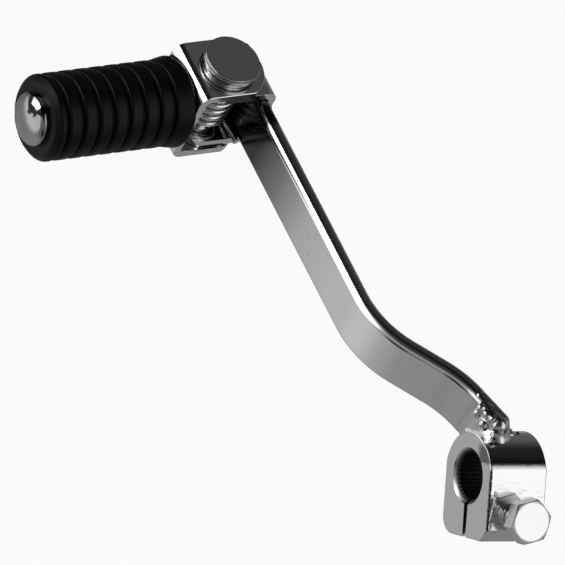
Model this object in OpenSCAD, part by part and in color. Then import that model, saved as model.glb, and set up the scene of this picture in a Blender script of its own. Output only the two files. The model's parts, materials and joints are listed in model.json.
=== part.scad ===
// Folding gear lever: a splined clamp boss, a stepped flat arm and a sprung folding toe peg.
// Millimetres. The origin is the centre of the splined bore. +Y runs along the bore, away from
// the peg, +Z points away from the clamp slot and +X towards the head of the pinch bolt.

/* [Layout of the lever] */
// Length of the arm from the fold pivot to the bore, along the arm
reach = 114.6; // [105:0.1:125]
// Depth of the bore's axis below the arm's centre line
bore_drop = 8.3; // [6.5:0.1:9.5]
// Slope of the arm, from the peg down to the boss
arm_slope = 45.3; // [35:0.1:55]
// Twist of the arm about its own length
arm_twist = 2.3; // [-4:0.1:4]
// Angle by which the arm leans away from the peg side
arm_toe = 6.9; // [0:0.1:10]

/* [Clamp boss] */
// Diameter of the boss round the bore
boss_d = 21.6; // [20:0.1:24]
// Width across the two flat sides
boss_w = 21.0; // [19:0.1:21.4]
// Length of the boss along the bore
boss_len = 15.8; // [14:0.1:18]
// Depth of the boss below the bore's axis
boss_drop = 14.9; // [14:0.1:17]
// Chamfer on the boss's lower corner on the bolt's side
boss_corner = 3.2; // [1:0.1:3.6]
// Radius of the boss's lower corner on the other side
boss_round = 4.2; // [2:0.1:4.6]
// Diameter at the bottom of the serrations
spline_d = 12.0; // [11.6:0.1:12.4]
// Depth of a serration
spline_depth = 0.35; // [0.2:0.05:0.4]
// Number of serrations
spline_teeth = 36; // [24:1:40]
// Lead-in chamfer at both ends of the bore
bore_chamfer = 0.9; // [0.4:0.1:1.2]
// Width of the clamp slot
slot_w = 1.4; // [1:0.1:2]

/* [Pinch bolt] */
// Diameter of the bolt
bolt_d = 6; // [5:0.5:6]
// Depth of the bolt's axis below the bore's axis
bolt_drop = 8.7; // [8.7:0.1:9.4]
// Length of the bolt's shank
bolt_len = 20; // [18:1:22]
// Width across the flats of the bolt's head
bolt_af = 10; // [9:0.5:10]
// Height of the bolt's head
bolt_head_h = 4; // [3.5:0.1:4.5]
// Gap left under the head of the slackened bolt
bolt_slack = 3.5; // [1:0.1:4]
// Turn of the hexagon about the bolt
bolt_turn = 44; // [0:1:59]

/* [Arm] */
// Width of the flat bar
arm_w = 14.4; // [13.5:0.1:15]
// Thickness of the flat bar
arm_t = 3.8; // [3.4:0.1:4.2]
// Radius on the bar's long edges
arm_edge_r = 1.1; // [0.6:0.1:1.5]
// Angle of the first bend
step_angle = 41.9; // [35:0.1:46]
// Length of the stepped stretch, from corner to corner
step_len = 23.9; // [22:0.1:28]
// Angle that the bar keeps after the second bend
end_angle = 19.3; // [12:0.1:24]
// Radius of both bends, to the middle of the bar
bend_r = 25; // [20:0.5:28]
// Length of the bar past the corner of the second bend, to its end over the boss
arm_tail = 15.0; // [14:0.1:16]
// Distance along the arm from the bar's end to the bore's axis
end_short = 5.75; // [5.5:0.05:6.5]
// Gap between the bar's hollowed end and the boss, which the weld fills
weld_gap = 0.15; // [0.1:0.05:0.3]

/* [Hinge brackets] */
// Thickness of the bracket sheet
sheet_t = 2.0; // [1.6:0.1:2.2]
// Radius inside the folds
fold_r = 0.9; // [0.5:0.1:1.2]
// Clearance between moving faces
play = 0.2; // [0.1:0.02:0.3]
// Half of the arm bracket's width
arm_bracket_half = 8.0; // [7.5:0.1:8.5]
// Half of the peg bracket's width
peg_bracket_half = 8.7; // [8:0.1:9.2]
// Radius of the peg bracket's ears at their free ends
peg_ear_r = 9.4; // [9.3:0.1:10]
// Distance from the pivot to the outside of the peg bracket's web
peg_web = 11.2; // [11:0.1:12]

/* [Pivot rivet] */
// Diameter of the rivet's shank
pin_d = 7.8; // [7:0.1:7.9]
// Clearance round the shank
pin_play = 0.05; // [0.03:0.01:0.08]
// Diameter of the rivet's head
head_d = 14.5; // [13:0.1:15.5]
// Thickness of the rivet's head
head_t = 2.1; // [2:0.1:3]
// Diameter of the washer under the head
washer_d = 11.6; // [11:0.1:13]
// Thickness of the washer under the head
washer_t = 1.0; // [0.8:0.1:1.2]
// Diameter of the closed end of the rivet
tail_d = 11; // [10:0.1:12]
// Height of the closed end
tail_h = 1.8; // [1.2:0.1:2.2]

/* [Torsion spring] */
// Diameter of the wire
wire_d = 1.6; // [1.2:0.1:1.7]
// Radial gap between the coil and the rivet's shank
coil_gap = 0.25; // [0.15:0.05:0.3]
// Pitch of the coil
coil_pitch = 2.3; // [1.9:0.05:2.35]
// Whole turns of the coil
coil_turns = 5; // [4:1:5]
// Lean of the leg that bears on the peg bracket
peg_leg_lean = 28; // [26:1:32]
// Length of the leg that bears on the arm
arm_leg = 10; // [8:0.5:13]

/* [Peg] */
// Diameter of the peg's rod
rod_d = 8; // [7:0.1:9]
// Diameter of the rod's domed head
dome_d = 13.4; // [12:0.1:15]
// Height of the dome
dome_h = 2.6; // [1.5:0.1:4]
// Diameter of the rubber over its ribs
rubber_d = 21.4; // [19:0.1:23]
// Length of the rubber sleeve
rubber_len = 39.6; // [36:0.1:45]
// Number of grooves round the rubber
groove_count = 8; // [4:1:8]
// Pitch of the grooves
groove_pitch = 4.37; // [4:0.01:4.5]
// Width of a groove
groove_w = 1.1; // [0.8:0.1:1.6]
// Depth of a groove
groove_depth = 1.1; // [0.6:0.1:1.6]
// Diameter of the flared collar at the bracket
collar_d = 22.6; // [21.5:0.1:24]

/* [Hidden] */
$fn = 64;

// Clamp boss
bore_crest_r = spline_d / 2 - spline_depth;
tooth_gap = 0.55 * 2 * PI * bore_crest_r / spline_teeth;
// The cut tools reach this far past the faces that they open
past = 1;
shank_fit = 0.03;
clear_fit = 0.3;
// Weld bead on the boss: its height and the room that it leaves on every side
bead_h = 2.0;
bead_side = 1.6;
bead_back = 9;
bead_end = 1.6;
bead_low = 3.2;
bead_top = 1.2;
bead_margin = 0.6;

// Hinge, measured from the pivot in the arm's own frame:
// x runs along the arm to the boss, y away from the peg and z along the rivet
arm_bracket_in = arm_w / 2 + play;
arm_bracket_out = arm_bracket_in + sheet_t;
peg_bracket_in = arm_bracket_out + play;
peg_bracket_out = peg_bracket_in + sheet_t;
peg_web_in = peg_web - sheet_t;
stop_y = peg_web_in - play;
// The round side of the arm bracket's ears passes the fold inside the peg bracket
ear_r = peg_web_in - fold_r + sqrt(pow(fold_r, 2) - pow(fold_r - play, 2)) - play;
pin_r = pin_d / 2;
hole_r = pin_r + pin_play;
coil_r = pin_r + coil_gap + wire_d / 2;
arm_front = coil_r + wire_d / 2 + 0.2;
arm_mid = arm_front + arm_t / 2;
arm_back = arm_front + arm_t;
arm_web_out = arm_back + sheet_t;

// Arm's path, whose straight run takes up what the bends and the tail leave of the reach
arm_run = reach - end_short - step_len * cos(step_angle) - arm_tail * cos(end_angle);
bend_in = bend_r * tan(step_angle / 2);
bend_out_angle = step_angle - end_angle;
bend_out = bend_r * tan(bend_out_angle / 2);
arm_start = -arm_bracket_half;
run_len = arm_run - bend_in - arm_start;
slope_len = step_len - bend_in - bend_out;
tail_len = arm_tail - bend_out;
// The bar's end lies this far to the peg's side of the bore's middle
end_inset = 1.45;
side_step = arm_mid + step_len * sin(step_angle) + arm_tail * sin(end_angle) + end_inset;

// A child drawn in the arm's frame goes to its place on the boss
module on_arm() {
    rotate([0, arm_slope, 0]) rotate([arm_twist, 0, 0]) rotate([0, 0, arm_toe])
        translate([-reach, -side_step, bore_drop]) children();
}

// Outline of the boss, seen along the bore, with z drawn as y: flat sides under a round top
module boss_outline() {
    half = boss_w / 2;
    difference() {
        polygon(concat([[-half, boss_d / 2], [half, boss_d / 2], [half, boss_corner - boss_drop],
            [half - boss_corner, -boss_drop]],
            moved(arc(boss_round, 270, 180, 8), [boss_round - half, boss_round - boss_drop])));
        difference() {
            translate([-boss_d, half / 10]) square([2 * boss_d, boss_d]);
            circle(d = boss_d);
        }
    }
}

// Serrated bore: a round hole at the crests with a vee for each serration
module bore_outline() {
    circle(r = bore_crest_r);
    for (i = [0 : spline_teeth - 1])
        rotate(360 * (i + 0.5) / spline_teeth)
            polygon([[bore_crest_r - 0.2, -tooth_gap / 2], [bore_crest_r, -tooth_gap / 2],
                [spline_d / 2, 0], [bore_crest_r, tooth_gap / 2], [bore_crest_r - 0.2, tooth_gap / 2]]);
}

// Draws an outline seen from the peg side as a solid centred on the bore's length
module along_bore(length) {
    translate([0, length / 2, 0]) rotate([90, 0, 0]) linear_extrude(length) children();
}

module bore_lead_in() {
    lead_r = spline_d / 2 + bore_chamfer;
    rotate([90, 0, 0])
        translate([0, 0, boss_len / 2 - lead_r])
            cylinder(r1 = 0, r2 = lead_r + past, h = lead_r + past);
}

module clamp_boss() {
    color("gainsboro")
    difference() {
        along_bore(boss_len) difference() {
            boss_outline();
            bore_outline();
            translate([-slot_w / 2, -boss_drop - past]) square([slot_w, boss_drop + past]);
        }
        bore_lead_in();
        mirror([0, 1, 0]) bore_lead_in();
        translate([0, 0, -bolt_drop]) rotate([0, 90, 0])
            cylinder(d = bolt_d + 2 * clear_fit, h = boss_w);
        translate([-boss_w, 0, -bolt_drop]) rotate([0, 90, 0])
            cylinder(d = bolt_d + 2 * shank_fit, h = boss_w);
    }
}

// Hexagon head with its round chamfered face, on a plain shank with a chamfered tip
module pinch_bolt() {
    corner_r = bolt_af / sqrt(3);
    chamfer = corner_r - 0.475 * bolt_af;
    tip = 0.8;
    color("lightgrey")
    translate([boss_w / 2 + bolt_slack, 0, -bolt_drop]) rotate([0, 90, 0]) {
        intersection() {
            rotate(bolt_turn) cylinder(r = corner_r, h = bolt_head_h, $fn = 6);
            rotate_extrude() polygon([[0, -past], [corner_r + past, -past],
                [corner_r + past, bolt_head_h - (chamfer + past) / 2],
                [corner_r - chamfer, bolt_head_h], [0, bolt_head_h]]);
        }
        rotate([180, 0, 0]) rotate_extrude() polygon([[0, 0], [bolt_d / 2, 0],
            [bolt_d / 2, bolt_len - tip], [bolt_d / 2 - tip, bolt_len], [0, bolt_len]]);
    }
}

// Points on an arc, from one angle to the next
function arc(r, from, to, steps) =
    [for (i = [0 : steps]) let (a = from + (to - from) * i / steps) r * [cos(a), sin(a)]];

function moved(points, by) = [for (p = points) p + by];

// Section of the flat bar with rounded edges: thickness across, width up
function bar_section() =
    let (cx = arm_t / 2 - arm_edge_r, cy = arm_w / 2 - arm_edge_r) concat(
        moved(arc(arm_edge_r, 0, 90, 4), [cx, cy]), moved(arc(arm_edge_r, 90, 180, 4), [-cx, cy]),
        moved(arc(arm_edge_r, 180, 270, 4), [-cx, -cy]), moved(arc(arm_edge_r, 270, 360, 4), [cx, -cy]));

// Joins a row of rings into one closed skin, the first ring facing back along the row
module skin(rings) {
    n = len(rings[0]);
    last = (len(rings) - 1) * n;
    sides = [for (i = [0 : len(rings) - 2]) for (k = [0 : n - 1])
        [i * n + k, i * n + (k + 1) % n, (i + 1) * n + (k + 1) % n, (i + 1) * n + k]];
    caps = [[for (k = [n - 1 : -1 : 0]) k], [for (k = [0 : n - 1]) last + k]];
    polyhedron([for (ring = rings) each ring], concat(sides, caps), convexity = 8);
}

// Stations along the middle of the bar, each with its place and its heading in the arm's frame
bend_steps = 12;
bend_start = [arm_run - bend_in, arm_mid];
slope_start = bend_start + bend_r * [sin(step_angle), 1 - cos(step_angle)];
slope_end = slope_start + slope_len * [cos(step_angle), sin(step_angle)];
tail_start = slope_end + bend_r * [sin(step_angle) - sin(end_angle), cos(end_angle) - cos(step_angle)];
tail_end = tail_start + tail_len * [cos(end_angle), sin(end_angle)];
arm_stations = concat(
    [[[arm_start, arm_mid], 0]],
    [for (i = [0 : bend_steps]) let (a = step_angle * i / bend_steps)
        [bend_start + bend_r * [sin(a), 1 - cos(a)], a]],
    [for (i = [0 : bend_steps]) let (a = step_angle - bend_out_angle * i / bend_steps)
        [slope_end + bend_r * [sin(step_angle) - sin(a), cos(a) - cos(step_angle)], a]],
    [[tail_end, end_angle]]);

// The bar from the bracket to its square end over the boss
module arm_bar() {
    skin([for (s = arm_stations) [for (p = bar_section())
        [s[0].x - sin(s[1]) * p.x, s[0].y + cos(s[1]) * p.x, p.y]]]);
}

module arm() {
    color("gainsboro")
    difference() {
        on_arm() arm_bar();
        along_bore(2 * boss_len) circle(d = boss_d + 2 * weld_gap, $fn = 96);
    }
}

// The weld bead runs round the hollowed end of the bar, down its front face and past its end, on the boss
module boss_weld() {
    bar_end = [tail_end.x, tail_end.y, 0];
    color("silver")
    difference() {
        intersection() {
            on_arm() translate(bar_end) rotate(end_angle)
                translate([-bead_back, -arm_t / 2 - bead_side, -arm_w / 2 + bead_low])
                    cube([bead_back + bead_end, arm_t + 2 * bead_side, arm_w - bead_low - bead_top]);
            along_bore(boss_len - 2 * bead_margin) circle(r = boss_d / 2 + bead_h);
        }
        along_bore(2 * boss_len) circle(d = boss_d);
        on_arm() translate(bar_end) rotate(end_angle)
            translate([-2 * tail_len, -arm_t / 2, -arm_w]) cube([2 * tail_len, arm_t, 2 * arm_w]);
    }
}

// Folded sheet with its web at y = web and its ears running from there towards -y, pierced for the rivet
module folded_u(web, ears_in, length) {
    out = ears_in + sheet_t;
    r_out = fold_r + sheet_t;
    rotate([90, 0, 90]) translate([0, 0, -length / 2]) linear_extrude(length) difference() {
        u_outline(web, out, r_out, 0);
        u_outline(web - sheet_t, ears_in, fold_r, past);
    }
}

module u_outline(web, half, r, extra) {
    reach_back = 2 * peg_web + extra;
    polygon(concat([[web - reach_back, -half]],
        moved(arc(r, -90, 0, 8), [web - r, r - half]),
        moved(arc(r, 0, 90, 8), [web - r, half - r]), [[web - reach_back, half]]));
}

module pin_hole() {
    cylinder(r = hole_r, h = 4 * peg_bracket_out, center = true);
}

// The arm's bracket: round on the side that the peg folds to, square on the other, where it is the stop
module arm_bracket() {
    color("gainsboro")
    on_arm() difference() {
        intersection() {
            folded_u(arm_web_out, arm_bracket_in, 2 * arm_bracket_half);
            linear_extrude(2 * peg_bracket_out, center = true) polygon(concat(
                [[-arm_bracket_half, arm_web_out], [-arm_bracket_half, -peg_web],
                [-arm_bracket_half / 4, -peg_web]],
                arc(ear_r, -90, -asin(sqrt(1 - pow(arm_bracket_half / ear_r, 2))), 12),
                [[arm_bracket_half, arm_web_out]]));
            rotate([90, 0, 90]) translate([0, 0, -peg_web]) linear_extrude(2 * peg_web)
                mirror([1, 0]) u_outline(stop_y, peg_bracket_in - play / 2, fold_r, peg_web);
        }
        pin_hole();
    }
}

// A fillet weld as a three-sided bead along z, with its right angle at the origin
module bead(length, leg) {
    linear_extrude(length, center = true) polygon([[0, 0], [leg, 0], [leg * 0.6, leg * 0.6], [0, leg]]);
}

module bracket_weld() {
    color("silver")
    on_arm() translate([arm_bracket_half, arm_back, 0]) bead(arm_w - 2 * arm_edge_r, sheet_t);
}

module pivot_rivet() {
    top = peg_bracket_out + washer_t + head_t;
    bevel = 0.45;
    color("silver")
    on_arm() rotate_extrude(convexity = 4) polygon(concat(
        [[0, top], [head_d / 2 - bevel, top], [head_d / 2, top - bevel], [head_d / 2, top - head_t],
        [pin_r, top - head_t], [pin_r, -peg_bracket_out], [tail_d / 2, -peg_bracket_out]],
        [for (a = [15 : 15 : 75]) [tail_d / 2 * cos(a), -peg_bracket_out - tail_h * sin(a)]],
        [[0, -peg_bracket_out - tail_h]]));
}

module rivet_washer() {
    color("silver")
    on_arm() translate([0, 0, peg_bracket_out]) difference() {
        cylinder(d = washer_d, h = washer_t);
        translate([0, 0, -past]) cylinder(r = hole_r, h = washer_t + 2 * past);
    }
}

// Torsion spring: a coil between two straight legs, as one wire swept along its centre line
coil_from = 90;
coil_to = 270 - peg_leg_lean + 360 * coil_turns;
coil_len = coil_pitch * (coil_to - coil_from) / 360;
coil_rings = 20 * (coil_turns + 1);
wire_sides = 10;
peg_leg = (peg_web_in - wire_d / 2 - coil_r * cos(peg_leg_lean) - 0.05) / sin(peg_leg_lean);

function coil_point(a) = [coil_r * cos(a), coil_r * sin(a),
    coil_pitch * (a - coil_from) / 360 - coil_len / 2];
function coil_heading(a) = [-sin(a), cos(a), 0];
spring_path = concat(
    [coil_point(coil_from) - arm_leg * coil_heading(coil_from)],
    [for (i = [0 : coil_rings]) coil_point(coil_from + (coil_to - coil_from) * i / coil_rings)],
    [coil_point(coil_to) + peg_leg * coil_heading(coil_to)]);
function wire_heading(i) = i == 0 ? coil_heading(coil_from)
    : i == len(spring_path) - 1 ? coil_heading(coil_to)
    : coil_heading(coil_from + (coil_to - coil_from) * (i - 1) / coil_rings);
function wire_ring(i) = let (side = cross(wire_heading(i), [0, 0, 1]))
    [for (k = [0 : wire_sides - 1]) let (a = 360 * k / wire_sides)
        spring_path[i] + wire_d / 2 * (cos(a) * side + sin(a) * [0, 0, 1])];

module torsion_spring() {
    color("lightgrey")
    on_arm() skin([for (i = [0 : len(spring_path) - 1]) wire_ring(i)]);
}

// The peg's bracket, round about the pivot at the ends of its ears
module peg_bracket() {
    color("gainsboro")
    on_arm() difference() {
        intersection() {
            rotate(180) folded_u(peg_web, peg_bracket_in, 2 * peg_bracket_half);
            linear_extrude(4 * peg_bracket_out, center = true) polygon(concat(
                [[-peg_bracket_half, -peg_web], [peg_bracket_half, -peg_web]],
                arc(peg_ear_r, acos(peg_bracket_half / peg_ear_r),
                    180 - acos(peg_bracket_half / peg_ear_r), 24)));
        }
        pin_hole();
        rotate([90, 0, 0]) cylinder(d = rod_d, h = 2 * peg_web);
    }
}

rubber_end = peg_web + rubber_len;

module peg_rod() {
    color("gainsboro")
    on_arm() rotate([90, 0, 0]) rotate_extrude(convexity = 4) polygon(concat(
        [[0, peg_web_in], [rod_d / 2, peg_web_in], [rod_d / 2, rubber_end], [dome_d / 2, rubber_end]],
        [for (a = [0 : 15 : 75]) [dome_d / 2 * cos(a), rubber_end + 0.8 + dome_h * sin(a)]],
        [[0, rubber_end + 0.8 + dome_h]]));
}

// Ribbed sleeve: a flared collar at the bracket, then grooves, then a bevelled shoulder
module rubber_sleeve() {
    r = rubber_d / 2;
    bevel = 1.6;
    last = rubber_end - 3.3;
    first = last - (groove_count - 1) * groove_pitch;
    color("black")
    on_arm() rotate([90, 0, 0]) rotate_extrude(convexity = 10) polygon(concat(
        [[rod_d / 2 + 0.05, peg_web], [collar_d / 2 - 1, peg_web], [collar_d / 2, peg_web + 1],
        [collar_d / 2 - 0.1, peg_web + 2], [r, first - groove_w]],
        [for (i = [0 : groove_count - 1]) let (s = first + i * groove_pitch)
            each [[r, s - groove_w / 2], [r - groove_depth, s - groove_w / 4],
                [r - groove_depth, s + groove_w / 4], [r, s + groove_w / 2]]],
        [[r, rubber_end - bevel], [r - bevel, rubber_end], [rod_d / 2 + 0.05, rubber_end]]));
}

clamp_boss();
pinch_bolt();
arm();
boss_weld();
arm_bracket();
bracket_weld();
pivot_rivet();
rivet_washer();
torsion_spring();
peg_bracket();
peg_rod();
rubber_sleeve();
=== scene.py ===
"""Folding gear lever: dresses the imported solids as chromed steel, spring wire and rubber."""
import json
import logging
import math
from dataclasses import dataclass, field
from enum import Enum

import bmesh
import bpy
import numpy as np
from mathutils import Matrix, Vector


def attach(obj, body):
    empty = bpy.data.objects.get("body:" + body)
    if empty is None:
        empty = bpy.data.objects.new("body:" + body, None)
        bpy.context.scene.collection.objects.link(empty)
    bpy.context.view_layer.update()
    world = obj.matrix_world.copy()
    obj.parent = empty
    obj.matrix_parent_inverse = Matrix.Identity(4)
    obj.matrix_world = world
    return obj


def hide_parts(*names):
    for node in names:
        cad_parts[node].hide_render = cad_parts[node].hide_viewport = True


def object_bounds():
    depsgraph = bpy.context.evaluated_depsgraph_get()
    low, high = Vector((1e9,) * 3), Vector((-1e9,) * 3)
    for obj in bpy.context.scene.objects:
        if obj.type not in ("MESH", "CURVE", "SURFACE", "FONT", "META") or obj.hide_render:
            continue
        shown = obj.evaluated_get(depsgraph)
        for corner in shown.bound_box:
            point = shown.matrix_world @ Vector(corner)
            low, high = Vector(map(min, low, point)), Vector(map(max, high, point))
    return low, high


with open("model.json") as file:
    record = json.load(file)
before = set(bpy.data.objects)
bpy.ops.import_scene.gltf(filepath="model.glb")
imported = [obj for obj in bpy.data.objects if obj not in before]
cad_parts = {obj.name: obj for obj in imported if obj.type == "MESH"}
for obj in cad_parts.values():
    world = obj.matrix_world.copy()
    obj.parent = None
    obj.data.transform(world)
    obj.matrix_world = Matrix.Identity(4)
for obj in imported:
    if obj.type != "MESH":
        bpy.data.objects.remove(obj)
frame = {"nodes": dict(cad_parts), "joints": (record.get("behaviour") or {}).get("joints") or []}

MM = 0.001
SHARP = 35.0
CUT_SHARP = 30.0
X, Y, Z = np.eye(3)
CAD_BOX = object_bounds()
CAD_MIDDLE = (CAD_BOX[0] + CAD_BOX[1]) / 2
log = logging.getLogger("gear_lever")
Piece = bpy.types.Object
Pair = tuple[float, float]
Triple = tuple[float, float, float]


class Slot(Enum):
    """Material slots of the record."""

    PLATE = "chrome_plate"
    WELD = "chrome_weld"
    TURNED = "turned_chrome"
    WIRE = "spring_wire"
    BOLT = "zinc_bolt"
    RUBBER = "black_rubber"


class Body(Enum):
    """Moving bodies of the record."""

    LEVER = "lever"
    PEG = "peg"


@dataclass(frozen=True)
class Seat:
    """A place in the lever's frame: an origin in millimetres and three unit axes."""

    origin: np.ndarray
    axes: np.ndarray

    def place(self, points: np.ndarray) -> np.ndarray:
        """Takes points from this seat to the lever's frame.

        Args:
            points: array of shape (..., 3), in millimetres.

        Returns:
            The origin plus each coordinate times its axis.
        """
        return self.origin + points @ self.axes

    def shifted(self, offset: Triple) -> "Seat":
        """Returns a seat whose origin is moved by an offset given along this seat's axes."""
        return Seat(self.place(np.array(offset, dtype=float)), self.axes)

    def facing(self, x: int, y: int, z: int) -> "Seat":
        """Returns a seat with the same origin and its axes picked from 1, 2, 3 or their negatives.

        Args:
            x: number of the axis that becomes x, negative to turn it round.
            y: the same for y.
            z: the same for z.

        Returns:
            The turned seat.
        """
        rows = [math.copysign(1.0, k) * self.axes[abs(k) - 1] for k in (x, y, z)]
        return Seat(self.origin, np.array(rows))


ROW = Seat(np.zeros(3), np.eye(3))


def turn(axis: int, degrees: float) -> np.ndarray:
    """Rotation matrix by the right-hand rule.

    Args:
        axis: 0, 1 or 2 for x, y or z.
        degrees: angle of the turn.

    Returns:
        A 3 by 3 matrix that turns column vectors.
    """
    c, s = math.cos(math.radians(degrees)), math.sin(math.radians(degrees))
    m = np.eye(3)
    i, j = [(1, 2), (2, 0), (0, 1)][axis]
    m[i, i], m[i, j], m[j, i], m[j, j] = c, -s, s, c
    return m


@dataclass(frozen=True)
class Layout:
    """How the arm's own frame lies on the boss, and its pivot, which the frame's joint gives."""

    slope: float = 45.3
    twist: float = 2.3
    toe: float = 6.9

    def arm_seat(self) -> Seat:
        """Seat at the pivot.

        Returns:
            The seat: x along the arm to the boss, y away from the peg, z along the rivet.
        """
        joint = frame["joints"][0]
        matrix = turn(1, self.slope) @ turn(0, self.twist) @ turn(2, self.toe)
        return Seat(np.array(joint["pos_m"]) / MM, matrix.T)


ARM = Layout().arm_seat()


def add_object(name: str, data: bpy.types.ID | None) -> Piece:
    """Makes an object at the origin.

    Args:
        name: its name.
        data: its mesh, lamp or camera.

    Returns:
        The object, linked to the scene.
    """
    made = bpy.data.objects.new(name, data)
    bpy.context.scene.collection.objects.link(made)
    return made


def new_piece(name: str, points: np.ndarray, faces: list, sharp: float = SHARP) -> Piece:
    """Makes a smooth-shaded piece from points in millimetres.

    Args:
        name: the piece's name.
        points: array (n, 3) in the lever's frame.
        faces: lists of point numbers.
        sharp: edges turning by more degrees than this stay sharp.

    Returns:
        The new object, at the origin.
    """
    mesh = bpy.data.meshes.new(name)
    mesh.from_pydata((points * MM).tolist(), [], faces)
    piece = add_object(name, mesh)
    tidy_mesh(piece, sharp)
    return piece


def tidy_mesh(piece: Piece, sharp: float) -> None:
    """Merges doubles, points faces outwards, smooths the shading and weights it by face area.

    Args:
        piece: the object to finish.
        sharp: edges turning by more degrees than this stay sharp.
    """
    merge_m = 1e-7
    bm = bmesh.new()
    bm.from_mesh(piece.data)
    bmesh.ops.remove_doubles(bm, verts=bm.verts, dist=merge_m)
    bmesh.ops.recalc_face_normals(bm, faces=bm.faces)
    bm.to_mesh(piece.data)
    bm.free()
    piece.data.polygons.foreach_set("use_smooth", np.ones(len(piece.data.polygons), dtype=bool))
    piece.data.set_sharp_from_angle(angle=math.radians(sharp))
    weights = piece.modifiers.new("even_shading", "WEIGHTED_NORMAL")
    weights.mode = "FACE_AREA"
    weights.keep_sharp = True


def grid_faces(rows: int, columns: int, closed: bool) -> list:
    """Quads of a grid of points numbered row by row.

    Args:
        rows: number of rows.
        columns: number of points in a row, which always joins round.
        closed: whether the last row joins the first.

    Returns:
        A list of lists of four point numbers.
    """
    r = np.arange(rows if closed else rows - 1)[:, None]
    c = np.arange(columns)[None, :]
    here, right = r * columns + c, r * columns + (c + 1) % columns
    up, up_right = ((r + 1) % rows) * columns + c, ((r + 1) % rows) * columns + (c + 1) % columns
    return np.stack([here, right, up_right, up], axis=-1).reshape(-1, 4).tolist()


def cylinder(radius: float, low: float, high: float) -> np.ndarray:
    """Returns a plain cylinder's profile, from the middle of its low end to its high one's."""
    return np.array([[0, low], [radius, low], [radius, high], [0, high]])


def arc_points(centre: Pair, radius: float, start: float, end: float,
               steps: int) -> np.ndarray:
    """Points on a circle's arc: centre plus radius times (cos, sin) of evenly spaced angles.

    Args:
        centre: middle of the circle.
        radius: its radius.
        start: first angle in degrees.
        end: last angle in degrees.
        steps: number of steps between them.

    Returns:
        Array (steps + 1, 2).
    """
    a = np.radians(np.linspace(start, end, steps + 1))
    return np.array(centre) + radius * np.stack([np.cos(a), np.sin(a)], axis=1)


def rounded(corners: list, radii: list, steps: int = 6) -> np.ndarray:
    """Rounds the corners of an open profile with arcs tangent to both sides.

    Each arc's centre lies on the corner's bisector, radius / sin(half the angle) away, and its
    points are found by turning the bisector between the two tangent points.

    Args:
        corners: (x, y) pairs, whose first and last stay as they are.
        radii: one radius for each inner corner, 0 to keep it sharp.
        steps: number of steps in an arc.

    Returns:
        Array (n, 2) of the rounded profile.
    """
    pts = np.array(corners, dtype=float)
    out = [pts[:1]]
    for before, corner, after, radius in zip(pts[:-2], pts[1:-1], pts[2:], radii):
        if radius <= 0:
            out.append(corner[None])
            continue
        u = (before - corner) / np.linalg.norm(before - corner)
        v = (after - corner) / np.linalg.norm(after - corner)
        half = math.acos(np.clip(u @ v, -1, 1)) / 2
        centre = corner + (u + v) / np.linalg.norm(u + v) * radius / math.sin(half)
        first = corner + u * radius / math.tan(half) - centre
        last = corner + v * radius / math.tan(half) - centre
        t = np.linspace(0, 1, steps + 1)[:, None]
        sweep = math.pi - 2 * half
        arc = (np.sin((1 - t) * sweep) * first + np.sin(t * sweep) * last) / math.sin(sweep)
        out.append(centre + arc)
    out.append(pts[-1:])
    return np.concatenate(out)


def revolve(name: str, profile: np.ndarray, seat: Seat, closed: bool = False,
            segments: int = 96) -> Piece:
    """Turned piece: each profile point (radius, height) runs round the seat's z axis.

    Args:
        name: the piece's name.
        profile: array (n, 2) of radius and height in millimetres.
        seat: where the axis is.
        closed: whether the profile's end joins its start, as on a ring.
        segments: number of steps round the axis.

    Returns:
        The new object.
    """
    a = np.linspace(0, 2 * math.pi, segments, endpoint=False)
    radius, height = profile[:, :1], profile[:, 1:]
    points = np.stack([radius * np.cos(a), radius * np.sin(a), height + 0 * a], axis=-1)
    return new_piece(name, seat.place(points.reshape(-1, 3)),
                     grid_faces(len(profile), segments, closed))


def sweep(name: str, centres: np.ndarray, sides: np.ndarray, ups: np.ndarray, section: np.ndarray,
          seat: Seat, sharp: float = SHARP) -> Piece:
    """Carries a closed section along a path: centre + side * u + up * v at each station.

    Args:
        name: the piece's name.
        centres: array (n, 3) of path points.
        sides: direction of the section's first coordinate, (3,) or (n, 3).
        ups: direction of its second, likewise.
        section: array (k, 2), or (n, k, 2) where it changes along the path.
        seat: the frame of the path.
        sharp: angle past which edges stay sharp.

    Returns:
        The new object, with both ends closed.
    """
    shape = np.broadcast_to(section, (len(centres),) + section.shape[-2:])
    sides, ups = (np.broadcast_to(way, centres.shape)[:, None] for way in (sides, ups))
    points = centres[:, None] + shape[..., :1] * sides + shape[..., 1:] * ups
    rows, columns = points.shape[:2]
    faces = grid_faces(rows, columns, False)
    faces.append(list(range(columns))[::-1])
    faces.append([(rows - 1) * columns + k for k in range(columns)])
    return new_piece(name, seat.place(points.reshape(-1, 3)), faces, sharp)


def dress(piece: Piece, body: Body, slot: Slot, material: bpy.types.Material,
          *nodes: str) -> Piece:
    """Puts a piece on its body, gives it its finish and lets it stand for its CAD nodes.

    Args:
        piece: the finished piece.
        body: the body that it moves with.
        slot: its slot in the record; not used.
        material: its finish.
        nodes: the CAD nodes that it replaces.

    Returns:
        The same piece.
    """
    piece.data.materials.clear()
    piece.data.materials.append(material)
    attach(piece, body.value)
    if nodes:
        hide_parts(*nodes)
    log.info("%s rides on %s", piece.name, body.value)
    return piece


def apply_modifiers(piece: Piece) -> None:
    """Bakes every modifier of a piece into its mesh.

    Args:
        piece: the piece.
    """
    depsgraph = bpy.context.evaluated_depsgraph_get()
    mesh = bpy.data.meshes.new_from_object(piece.evaluated_get(depsgraph))
    piece.modifiers.clear()
    piece.data = mesh


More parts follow.
